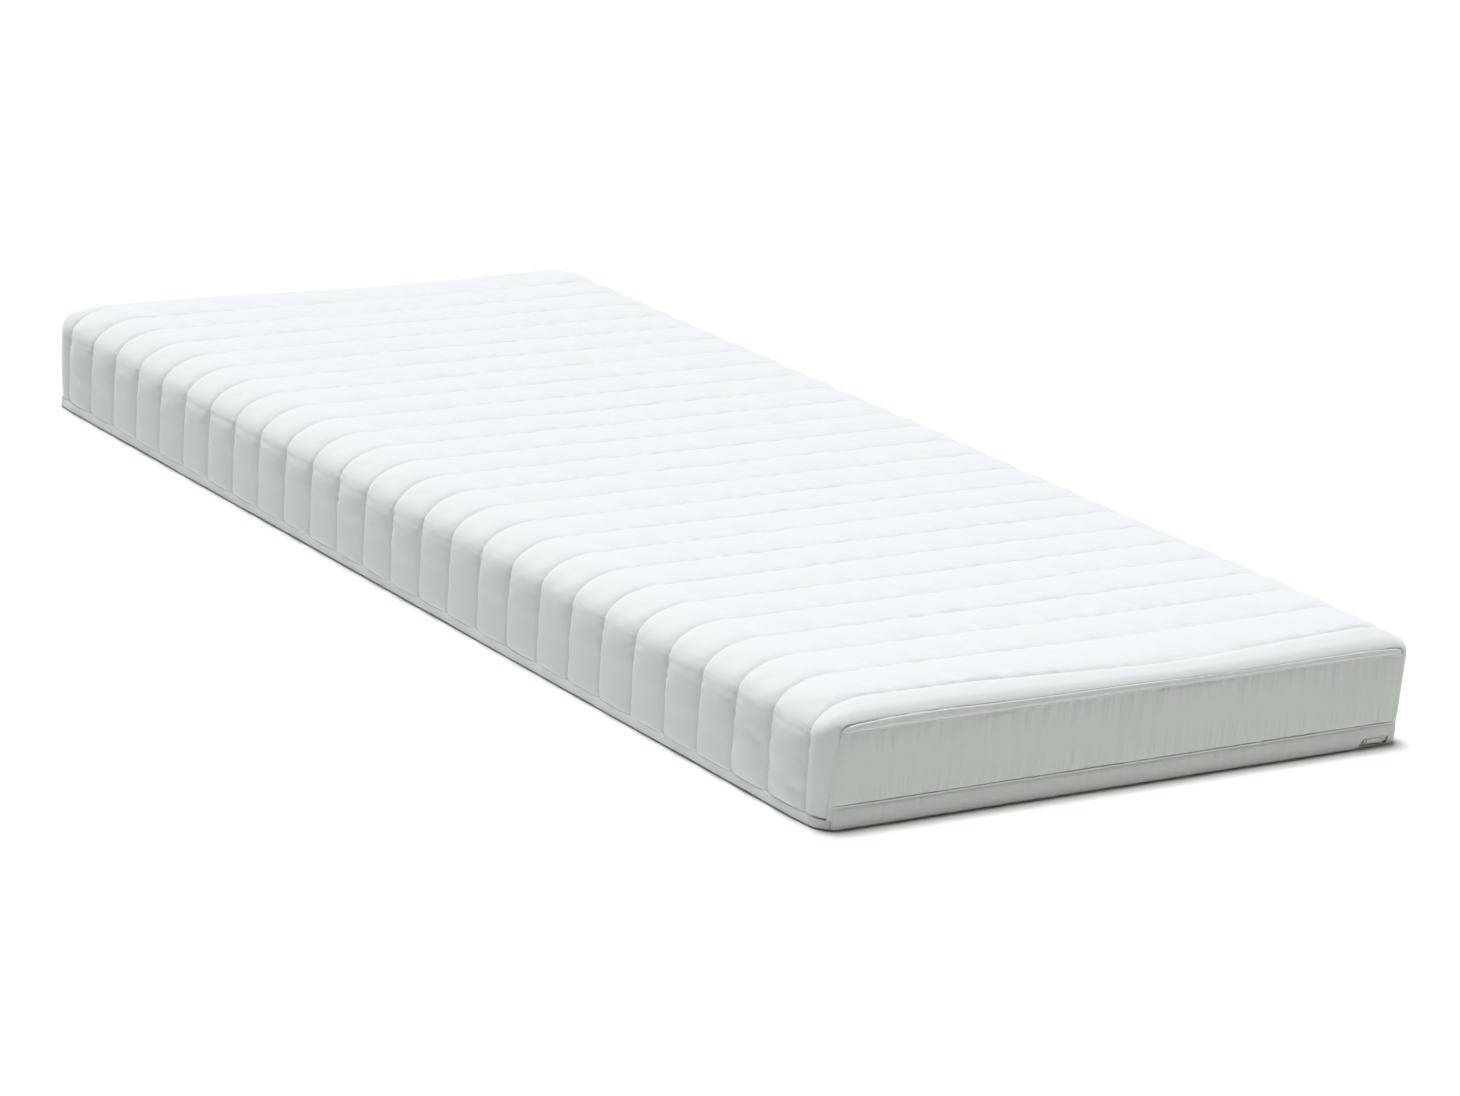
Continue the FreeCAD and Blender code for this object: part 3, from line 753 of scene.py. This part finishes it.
for sign, end in ((-1, "foot"), (1, "head")):
    seed = 60 + 10 * sign
    wide = np.linspace(-WINDOW - 5 * MM, WINDOW + 5 * MM, 720)[None, :]
    up_panel = np.linspace(0, 1, 44)[:, None]
    tall = RIM - 1 * MM + (seam_edge(wide) + 5 * MM - RIM) * up_panel
    panel_depth = end_depth(wide, tall) + ripples(wide, tall, seed)
    if end == "head":
        pressed = smooth_window(wide, label_low.x, label_high.x) * smooth_window(tall, label_low.z,
                                                                                 label_high.z)
        flat_depth = np.maximum(panel_depth, HALF_LENGTH - label_low.y + 0.5 * MM)
        panel_depth = panel_depth + pressed * (flat_depth - panel_depth)
    panel = end_shell(end + "_panel_knit", sign, wide, tall, panel_depth, PANEL_THICK)
    dress(panel, plain_knit)
    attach(panel, "mattress")
    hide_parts(end + "_end_panel")

    fleece_wide = np.linspace(-WINDOW - 4 * MM, WINDOW + 4 * MM, 120)[None, :]
    fleece_tall = RIM + (seam_edge(fleece_wide) + 3 * MM - RIM) * np.linspace(0, 1, 24)[:, None]
    fleece_depth = end_depth(fleece_wide, fleece_tall) + PANEL_THICK + 0.7 * MM
    fleece = end_shell(end + "_panel_fleece", sign, fleece_wide, fleece_tall, fleece_depth,
                       FLEECE_THICK)
    dress(fleece, fleece_felt)
    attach(fleece, "mattress")
    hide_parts(end + "_end_fleece")

    band_wide = np.linspace(-WINDOW - 1 * MM, WINDOW + 1 * MM, 400)[None, :]
    band_across = np.linspace(0, 1, 25)[:, None]
    tape_foot = tape_line(band_wide) - 1.5 * MM
    tape_tall = tape_foot + (seam_height(band_wide) + 0.3 * MM - tape_foot) * band_across
    upper_row = 0.79
    lower_row = 0.125
    tape_puff = 0.6 * MM * np.sin(math.pi * band_across) ** 0.6
    for at in (upper_row, lower_row):
        tape_puff = tape_puff - 0.35 * MM * np.exp(-np.abs(band_across - at) / 0.06)
    gathers = 0.25 * MM * drift(band_wide / (4 * MM), band_across * 1.5, seed + 3)
    fade = 1 - np.exp(-(WINDOW + 1 * MM - np.abs(band_wide)) / (14 * MM))
    stand = (BAND_THICK + 0.4 * MM + tape_puff) * fade
    tape_depth = end_depth(band_wide, tape_tall) - stand + gathers
    tape = end_shell(end + "_seam_tape_twill", sign, band_wide, tape_tall, tape_depth, BAND_THICK)
    dress(tape, seam_twill)
    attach(tape, "mattress")
    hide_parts(end + "_seam_tape")

    hem_crest = hem_line(band_wide) + 2.5 * MM
    # The flap is cut short over the parked slider, so that its pull can be reached
    pull_share = np.clip((band_wide - (PULL_START - 12 * MM)) / (12 * MM), 0, 1)
    pull_share = pull_share ** 2 * (3 - 2 * pull_share)
    hem_foot = HEM_BOTTOM + (HEM_OVER_PULL - HEM_BOTTOM) * pull_share
    hem_tall = hem_foot + (hem_crest - hem_foot) * band_across
    hem_row = 0.915
    hem_puff = 1.0 * MM * np.sin(math.pi * band_across) ** 0.6
    hem_puff = hem_puff - 0.9 * MM * np.exp(-np.abs(band_across - hem_row) / 0.04)
    hem_gathers = 0.5 * MM * drift(band_wide / (5 * MM), band_across * 1.2, seed + 5)
    hem_stand = (BAND_THICK + 0.4 * MM + hem_puff) * fade
    hem_depth = end_depth(band_wide, np.maximum(hem_tall, RIM)) - hem_stand
    flap_most = FLAP_DEPTH + (hem_tall - HEM_BOTTOM) * 0.03 + 6 * MM * (1 - fade)
    hem_depth = np.minimum(hem_depth + hem_gathers, flap_most)
    hem = end_shell(end + "_hem_twill", sign, band_wide, hem_tall, hem_depth, BAND_THICK)
    dress(hem, plain_knit)
    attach(hem, "mattress")
    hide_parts(end + "_hem_band")

    sewn_rows = []
    for tall_at, depth_at, share in ((tape_tall, tape_depth, upper_row),
                                     (tape_tall, tape_depth, lower_row),
                                     (hem_tall, hem_depth, hem_row)):
        step = int(round(share * (len(band_across) - 1)))
        row_depth = depth_at[step] - THREAD_STAND
        sewn_rows.append(end_point(sign, band_wide[0], row_depth, tall_at[step]))
    sewn = grown(end + "_top_stitches", lock_stitches, strands(sewn_rows),
                 {"Stitch Pitch": 3.2 * MM, "Stitch Length": 2.8 * MM, "Thread Thickness": 0.55 * MM,
                  "Unevenness": 0.1, "Thread": thread})
    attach(sewn, "mattress")
    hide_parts(end + "_topstitching")

    # Overlock ticks bind the cut edge at the foot of the hem
    tick_x = np.arange(-WINDOW + 2 * MM, WINDOW - 2 * MM, OVERLOCK_PITCH)
    tick_x = tick_x + 0.3 * MM * drift(tick_x / (3 * MM), 0.5, seed + 7)
    tick_foot = np.interp(tick_x, band_wide[0], hem_foot[0]) + 0.6 * MM
    foot_depth = np.interp(tick_x, band_wide[0], hem_depth[2]) - 0.2 * MM
    ticks = [end_point(sign, np.array([x, x + 0.5 * MM]), d, np.array([z, z + OVERLOCK_WIDTH / 2]))
             for x, d, z in zip(tick_x, foot_depth, tick_foot + OVERLOCK_WIDTH / 4)]
    overlock = grown(end + "_overlock_stitches", lock_stitches, strands(ticks),
                     {"Stitch Pitch": OVERLOCK_WIDTH / 2, "Stitch Length": OVERLOCK_WIDTH / 2,
                      "Thread Thickness": 0.6 * MM, "Unevenness": 0.2, "Thread": thread})
    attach(overlock, "mattress")

# ---------------------------------------------------------------------------------------------
# Base cloth. A plain woven sheet under the foam, turned up all round into a narrow rim that is
# sewn to the quilted panel, and along the foot end to the lower half of the zip.

base_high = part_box("base_fabric")[1]
BASE_THICK = 1.2 * MM
BASE_CORNER = 27.5 * MM
BASE_BEND = 5 * MM
RIM_HEIGHT = base_high.z - 1 * MM
ZIP_RIM = 3.0 * MM
ZIP_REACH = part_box("zip_tape_upper")[1].x + 2 * MM


def tray(across, along, thickness):
    """A sheet turned up at its rim. Both coordinates run on past the edge, up the rim."""
    half = (base_high.x, base_high.y)
    local = [np.clip((np.abs(c) - (h - BASE_CORNER)) / BASE_CORNER, 0, None)
             for c, h in zip((across, along), half)]
    reach = np.maximum(local[0], local[1])
    size = np.hypot(local[0], local[1])
    unit = [np.where(size > 0, c / np.maximum(size, 1e-9), 0) for c in local]
    bend = BASE_BEND - thickness
    run = reach * BASE_CORNER - (BASE_CORNER - BASE_BEND)
    at_zip = (along < 0) & (np.abs(across) < ZIP_REACH) & (local[1] > 0)
    zip_run = BASE_BEND * math.acos(1 - ZIP_RIM / BASE_BEND)
    run = np.where(at_zip, np.minimum(run, zip_run), run)
    turned = np.clip(run / BASE_BEND, 0, math.pi / 2)
    past = np.maximum(run - BASE_BEND * math.pi / 2, 0)
    flat_reach = np.minimum(run, 0) + BASE_CORNER - BASE_BEND
    radius = flat_reach + bend * np.sin(turned)
    z = thickness + bend * (1 - np.cos(turned)) + past
    x = np.sign(across) * (np.minimum(np.abs(across), half[0] - BASE_CORNER) + unit[0] * radius)
    y = np.sign(along) * (np.minimum(np.abs(along), half[1] - BASE_CORNER) + unit[1] * radius)
    return np.stack([x, y, z], axis=-1)


def edge_spaced(half, rim, coarse_step):
    """Places across a sheet: evenly spaced over the flat, and close together at the rim."""
    start = half - BASE_CORNER
    flat = np.linspace(-start, start, int(2 * start / coarse_step))
    edge = np.linspace(start, half + rim, 26)[1:]
    return np.concatenate([-edge[::-1], flat, edge])


rim_run = RIM_HEIGHT - BASE_BEND + BASE_BEND * (math.pi / 2 - 1)
base_x = edge_spaced(base_high.x, rim_run, 12 * MM)[None, :]
base_y = edge_spaced(base_high.y, rim_run, 14 * MM)[:, None]
base_x, base_y = np.broadcast_arrays(base_x, base_y)
slack = 0.35 * MM * (1 + drift(base_x / (70 * MM), base_y / (90 * MM), 21))
outer_base = tray(base_x, base_y, 0.0)
inner_base = tray(base_x, base_y, BASE_THICK)
on_floor = (outer_base[..., 2] < 1e-6)
outer_base[..., 2] += np.where(on_floor, slack, 0)
inner_base[..., 2] += np.where(on_floor, slack, 0)
base = shell("base_cloth", outer_base[::-1], inner_base[::-1], base_x[::-1], base_y[::-1])

# Plain-woven polyester: flat, dull and evenly gridded. Its 0.5 mm threads are drawn at 3 mm.
base_weave = surface("plain_woven_polyester", "E6E7E5", knit(3.0 * MM, 3.0 * MM), 0.12 * MM,
                     shift=0.03, hollow_shade=0.1, mapped="UV", Roughness=0.85, **{"Sheen Weight": 0.1})
dress(base, base_weave)
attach(base, "mattress")
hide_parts("base_fabric")

# ---------------------------------------------------------------------------------------------
# Edge tapes. A strip of soft knit folded into a flat roll and sewn over the bottom seam, along
# both long sides and the head end. It stands a little proud and wrinkles round the corners.

TAPE_CENTRE_Z = 7.7 * MM
ROLL_HALF_HEIGHT = 6.4 * MM
ROLL_HALF_DEPTH = 2.6 * MM
ROLL_INSET = 3.0 * MM
ROLL_TAPER = 22 * MM
ROLL_SIDES = 20


def edge_path(corner_points, straight_points):
    """The left edge tape's path in plan, from the foot corner round to the head corner."""
    turn = np.linspace(0, math.pi / 2, corner_points)
    straight_y = np.linspace(-HALF_LENGTH + CORNER, HALF_LENGTH - CORNER, straight_points)[1:-1]
    x = np.concatenate([CORNER - CORNER * np.sin(turn), np.zeros(len(straight_y)),
                        CORNER - CORNER * np.cos(turn)]) - HALF_WIDTH
    y = np.concatenate([-HALF_LENGTH + CORNER - CORNER * np.cos(turn), straight_y,
                        HALF_LENGTH - CORNER + CORNER * np.sin(turn)])
    return np.stack([x, y], axis=-1)


def roll(name, path, seed):
    """A soft flat roll along a path in plan, whose left is the inside, closed at both ends."""
    step = np.gradient(path, axis=0)
    step = step / np.linalg.norm(step, axis=1, keepdims=True)
    out = np.stack([-step[:, 1], step[:, 0]], axis=-1)
    far = np.concatenate([[0], np.cumsum(np.linalg.norm(np.diff(path, axis=0), axis=1))])
    angle = np.linspace(0, 2 * math.pi, ROLL_SIDES + 1)[None, :]
    bent = np.linalg.norm(np.gradient(step, axis=0), axis=1) / np.gradient(far)
    bent = np.clip(bent * CORNER, 0, 1)[:, None]
    far = far[:, None]
    swell = 1 + 0.07 * drift(far / (60 * MM), angle, seed)
    wrinkle = 0.25 * MM * (0.5 + 1.6 * bent) * drift(far / (4.5 * MM), angle * 0.8, seed + 1)
    from_end = np.minimum(far, far[-1] - far) / ROLL_TAPER
    taper = 0.25 + 0.75 * np.sin(math.pi / 2 * np.clip(from_end, 0, 1))
    half_height = ROLL_HALF_HEIGHT * swell * taper ** 0.5
    half_depth = (ROLL_HALF_DEPTH * swell + wrinkle) * taper
    square = 0.62
    reach = np.sign(np.cos(angle)) * np.abs(np.cos(angle)) ** square * half_depth - ROLL_INSET
    tuck = CORNER_TUCK * corner_share(path[:, :1], path[:, 1:])
    reach = reach - 1.5 * MM * (1 - taper) - 0.8 * tuck
    rise = np.sign(np.sin(angle)) * np.abs(np.sin(angle)) ** square * half_height
    z = TAPE_CENTRE_Z + rise + 0.3 * MM * drift(far / (80 * MM), 0.5, seed + 2)
    x = path[:, :1] + out[:, :1] * reach
    y = path[:, 1:] + out[:, 1:] * reach
    points = np.stack([x, y, z], axis=-1)[:, :-1]
    rows, columns = points.shape[:2]
    index = np.arange(rows * columns).reshape(rows, columns)
    beside = np.roll(index, -1, axis=1)
    faces = np.stack([index[:-1], beside[:-1], beside[1:], index[1:]], axis=-1).reshape(-1, 4).tolist()
    faces.append(index[0, ::-1].tolist())
    faces.append(index[-1].tolist())
    made = bpy.data.meshes.new(name)
    made.from_pydata(points.reshape(-1, 3).tolist(), [], faces)
    made.polygons.foreach_set("use_smooth", np.ones(len(faces), bool))
    made.update()
    piece = bpy.data.objects.new(name, made)
    bpy.context.scene.collection.objects.link(piece)
    return piece


# Brushed knit binding: the softest and lightest cloth on the cover.
binding = surface("brushed_knit_binding", "EDEFEE", fibres(1.5 * MM), 0.12 * MM, shift=0.02,
                  hollow_shade=0.05, Roughness=0.9, **{"Sheen Weight": 0.35, "Sheen Roughness": 0.5})
left_path = edge_path(26, 260)
right_path = left_path[::-1] * np.array([-1.0, 1.0])
head_path = np.stack([np.linspace(WINDOW, -WINDOW, 120), np.full(120, HALF_LENGTH)], axis=-1)
for seed, side, path in ((31, "left", left_path), (34, "right", right_path),
                         (37, "head", head_path[::-1])):
    border = roll(side + "_edge_roll", path, seed)
    dress(border, binding)
    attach(border, "mattress")
    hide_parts(side + "_border_tape")

# ---------------------------------------------------------------------------------------------
# Zip. Two woven tapes with a nylon coil sewn along each, so that the cover comes off for
# washing. The hem hangs over the upper half, and the base cloth is sewn to the lower one.


def coil_tree():
    """A node tree for one half of a coil zip: a flattened nylon spiral along X."""
    tree, given = open_tree("nylon_coil", ("Coil Length", "Coil Turns", "Half Height", "Half Depth",
                                           "Wire Radius"), Centre="Vector", Nylon="Material")
    spiral = add(tree, "GeometryNodeCurveSpiral",
                 {"Resolution": 9, "Rotations": given["Coil Turns"], "Start Radius": 1.0,
                  "End Radius": 1.0, "Height": given["Coil Length"]})
    flat = add(tree, "ShaderNodeCombineXYZ", {"X": given["Half Height"], "Y": given["Half Depth"],
                                              "Z": 1.0})
    squeezed = add(tree, "GeometryNodeTransform", {"Geometry": spiral.outputs["Curve"],
                                                   "Scale": flat.outputs["Vector"]})
    laid = add(tree, "GeometryNodeTransform", {"Geometry": squeezed.outputs["Geometry"],
                                               "Rotation": (0.0, math.pi / 2, 0.0),
                                               "Translation": given["Centre"]})
    wire = add(tree, "GeometryNodeCurvePrimitiveCircle", {"Resolution": 5,
                                                          "Radius": given["Wire Radius"]})
    swept = add(tree, "GeometryNodeCurveToMesh", {"Curve": laid.outputs["Geometry"],
                                                  "Profile Curve": wire.outputs["Curve"],
                                                  "Fill Caps": True})
    real = add(tree, "GeometryNodeRealizeInstances", {"Geometry": swept.outputs["Mesh"]})
    cast = add(tree, "GeometryNodeSetMaterial", {"Geometry": real.outputs["Geometry"],
                                                 "Material": given["Nylon"]})
    add(tree, "NodeGroupOutput", {"Geometry": cast.outputs["Geometry"]})
    return tree


# Woven zip tape: tight, flat and slightly glossy.
zip_weave = surface("woven_zip_tape", "EEEEEB", knit(1.2 * MM, 1.2 * MM), 0.06 * MM, shift=0.02,
                    hollow_shade=0.08, Roughness=0.65, **{"Sheen Weight": 0.1})
# Drawn nylon: milky white and smooth, so each loop catches a small highlight.
nylon = surface("drawn_nylon_coil", "E6E6E2", fibres(0.8 * MM), 0.01 * MM, shift=0.02, hollow_shade=0.03,
                Roughness=0.32)
coil = coil_tree()
COIL_PITCH = 1.5 * MM
WIRE = 0.32 * MM
for half in ("upper", "lower"):
    strip_low, strip_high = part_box("zip_tape_" + half)
    strip_x = np.linspace(strip_low.x, strip_high.x, 240)[None, :]
    strip_z = np.linspace(strip_low.z, strip_high.z, 5)[:, None]
    strip_depth = HALF_LENGTH + strip_low.y + 0.12 * MM * drift(strip_x / (25 * MM), strip_z, 81)
    strip = end_shell("zip_strip_" + half, -1, strip_x, strip_z, strip_depth, 0.5 * MM)
    dress(strip, zip_weave)
    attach(strip, "mattress")
    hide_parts("zip_tape_" + half)

    coil_low, coil_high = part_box("zip_teeth_" + half)
    centre = (coil_low + coil_high) / 2
    turns = (coil_high.x - coil_low.x - 2 * WIRE) / COIL_PITCH
    loops = grown("zip_coil_" + half, coil, bpy.data.meshes.new("empty"),
                  {"Coil Length": coil_high.x - coil_low.x - 2 * WIRE, "Coil Turns": turns,
                   "Half Height": (coil_high.z - coil_low.z) / 2 - WIRE,
                   "Half Depth": (coil_high.y - coil_low.y) / 2 - WIRE, "Wire Radius": WIRE,
                   "Centre": (coil_low.x + WIRE, centre.y, centre.z), "Nylon": nylon})
    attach(loops, "mattress")
    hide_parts("zip_teeth_" + half)

# Cast zinc under baked white enamel: hard and glossy, with a very faint orange-peel ripple.
enamel = surface("white_baked_enamel_on_zinc", "F4F4F0", fibres(3 * MM), 0.02 * MM, shift=0.02,
                 hollow_shade=0.03, Roughness=0.25, **{"Coat Weight": 0.5, "Coat Roughness": 0.1})
for node in ("zip_slider", "zip_pull_tab", "zip_open_end_stop", "zip_closed_end_stop"):
    dress_cad(node, enamel)

# ---------------------------------------------------------------------------------------------
# Care label. A slip of white satin ribbon, left blank, sewn to the head end by its right edge
# and free to lift like a flap. Its cut ends are heat-sealed, and it curls a little.

label_x = np.linspace(label_low.x, label_high.x, 25)[None, :]
label_z = np.linspace(label_low.z, label_high.z, 29)[:, None]
from_seam = (label_high.x - label_x) / (label_high.x - label_low.x)
corner_curl = (2 * (label_z - label_low.z) / (label_high.z - label_low.z) - 1) ** 2
lift = (1.6 * from_seam ** 2 + 0.8 * corner_curl * from_seam) * MM
label_depth = HALF_LENGTH - label_high.y - lift
satin_label = end_shell("blank_satin_label", 1, label_x, label_z, label_depth, 0.3 * MM)

# Polyester satin ribbon: smooth, with a silky shine along its length.
satin = surface("polyester_satin_ribbon", "F7F7F5", knit(1.0 * MM, 0.8 * MM), 0.02 * MM, shift=0.02,
                hollow_shade=0.04, mapped="UV", Roughness=0.38, Anisotropic=0.5, **{"Sheen Weight": 0.2})
dress(satin_label, satin)
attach(satin_label, "label")
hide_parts("care_label")

# ---------------------------------------------------------------------------------------------
# Floor. A seamless white studio floor, lit so evenly that it runs into the background.

floor_mesh = bpy.data.meshes.new("floor")
FLOOR_REACH = 30.0
floor_mesh.from_pydata([(-FLOOR_REACH, -FLOOR_REACH, 0), (FLOOR_REACH, -FLOOR_REACH, 0),
                        (FLOOR_REACH, FLOOR_REACH, 0), (-FLOOR_REACH, FLOOR_REACH, 0)],
                       [], [(0, 1, 2, 3)])
floor = bpy.data.objects.new("floor", floor_mesh)
floor.location.z = -0.0005
bpy.context.scene.collection.objects.link(floor)
paper = bpy.data.materials.new("seamless_white_paper")
paper.use_nodes = True
paper_tree = paper.node_tree
paper_tree.nodes.clear()
sheet_of = add(paper_tree, "ShaderNodeBsdfDiffuse", {"Color": linear("F2F3ED")})
add(paper_tree, "ShaderNodeOutputMaterial", {"Surface": sheet_of.outputs["BSDF"]})
floor_mesh.materials.append(paper)

# ---------------------------------------------------------------------------------------------
# Studio light. A broad overhead bank, a little towards the head end, lights the top and the
# floor, which lights the walls from below. A low bank behind the head end rakes along the side
# walls into the seams, and a weaker one crosses the foot end. The room is dim but looks white.

room = bpy.data.worlds.new("pale_room")
room.use_nodes = True
bpy.context.scene.world = room
room_tree = room.node_tree
room_tree.nodes.clear()
seen = add(room_tree, "ShaderNodeLightPath")
fill_light = add(room_tree, "ShaderNodeBackground", {"Color": linear("F6FBFF"), "Strength": 0.02})
white_room = add(room_tree, "ShaderNodeBackground", {"Color": linear("FFFFFF"), "Strength": 1.0})
choice = add(room_tree, "ShaderNodeMixShader", {0: seen.outputs["Is Camera Ray"],
                                                1: fill_light.outputs["Background"],
                                                2: white_room.outputs["Background"]})
add(room_tree, "ShaderNodeOutputWorld", {"Surface": choice.outputs["Shader"]})
bpy.context.scene.view_settings.view_transform = "Standard"


def light_bank(name, towards, softness, power, colour):
    """A far, wide light that shines evenly from one direction, softened over an angle."""
    lamp = bpy.data.lights.new(name, "SUN")
    lamp.angle = math.radians(softness)
    lamp.energy = power
    lamp.color = linear(colour)[:3]
    lit = bpy.data.objects.new(name, lamp)
    lit.rotation_euler = (-Vector(towards)).to_track_quat("-Z", "Y").to_euler()
    bpy.context.scene.collection.objects.link(lit)


light_bank("overhead_bank", (0.0, 0.12, 1.0), 18, 3.68, "FAFDFF")
light_bank("raking_bank", (-0.14, 0.97, 0.2), 20, 0.7, "FFFFFF")
light_bank("cross_bank", (0.95, -0.2, 0.2), 20, 0.5, "FFFFFF")

# ---------------------------------------------------------------------------------------------
# Camera. A long lens from the foot end's left, well above the mattress and slightly rolled.

LENS = 125.35
SENSOR = 36.0
AZIMUTH = math.radians(-34.86)
ELEVATION = math.radians(16.38)
ROLL = math.radians(4.38)
AIM = Vector((0.102, 0.0205, 0.0))
DISTANCE = 7.0323
eye = bpy.data.cameras.new("camera")
eye.lens = LENS
eye.sensor_width = SENSOR
eye.clip_end = 100
camera = bpy.data.objects.new("camera", eye)
back = Vector((math.sin(AZIMUTH) * math.cos(ELEVATION), -math.cos(AZIMUTH) * math.cos(ELEVATION),
                  math.sin(ELEVATION)))
level = Vector((math.cos(AZIMUTH), math.sin(AZIMUTH), 0))
upward = back.cross(level)
right = level * math.cos(ROLL) + upward * math.sin(ROLL)
above = upward * math.cos(ROLL) - level * math.sin(ROLL)
turned_axes = camera.matrix_world.copy()
for row in range(3):
    turned_axes[row][0] = right[row]
    turned_axes[row][1] = above[row]
    turned_axes[row][2] = back[row]
    turned_axes[row][3] = (AIM + back * DISTANCE)[row]
camera.matrix_world = turned_axes
bpy.context.scene.collection.objects.link(camera)
bpy.context.scene.camera = camera
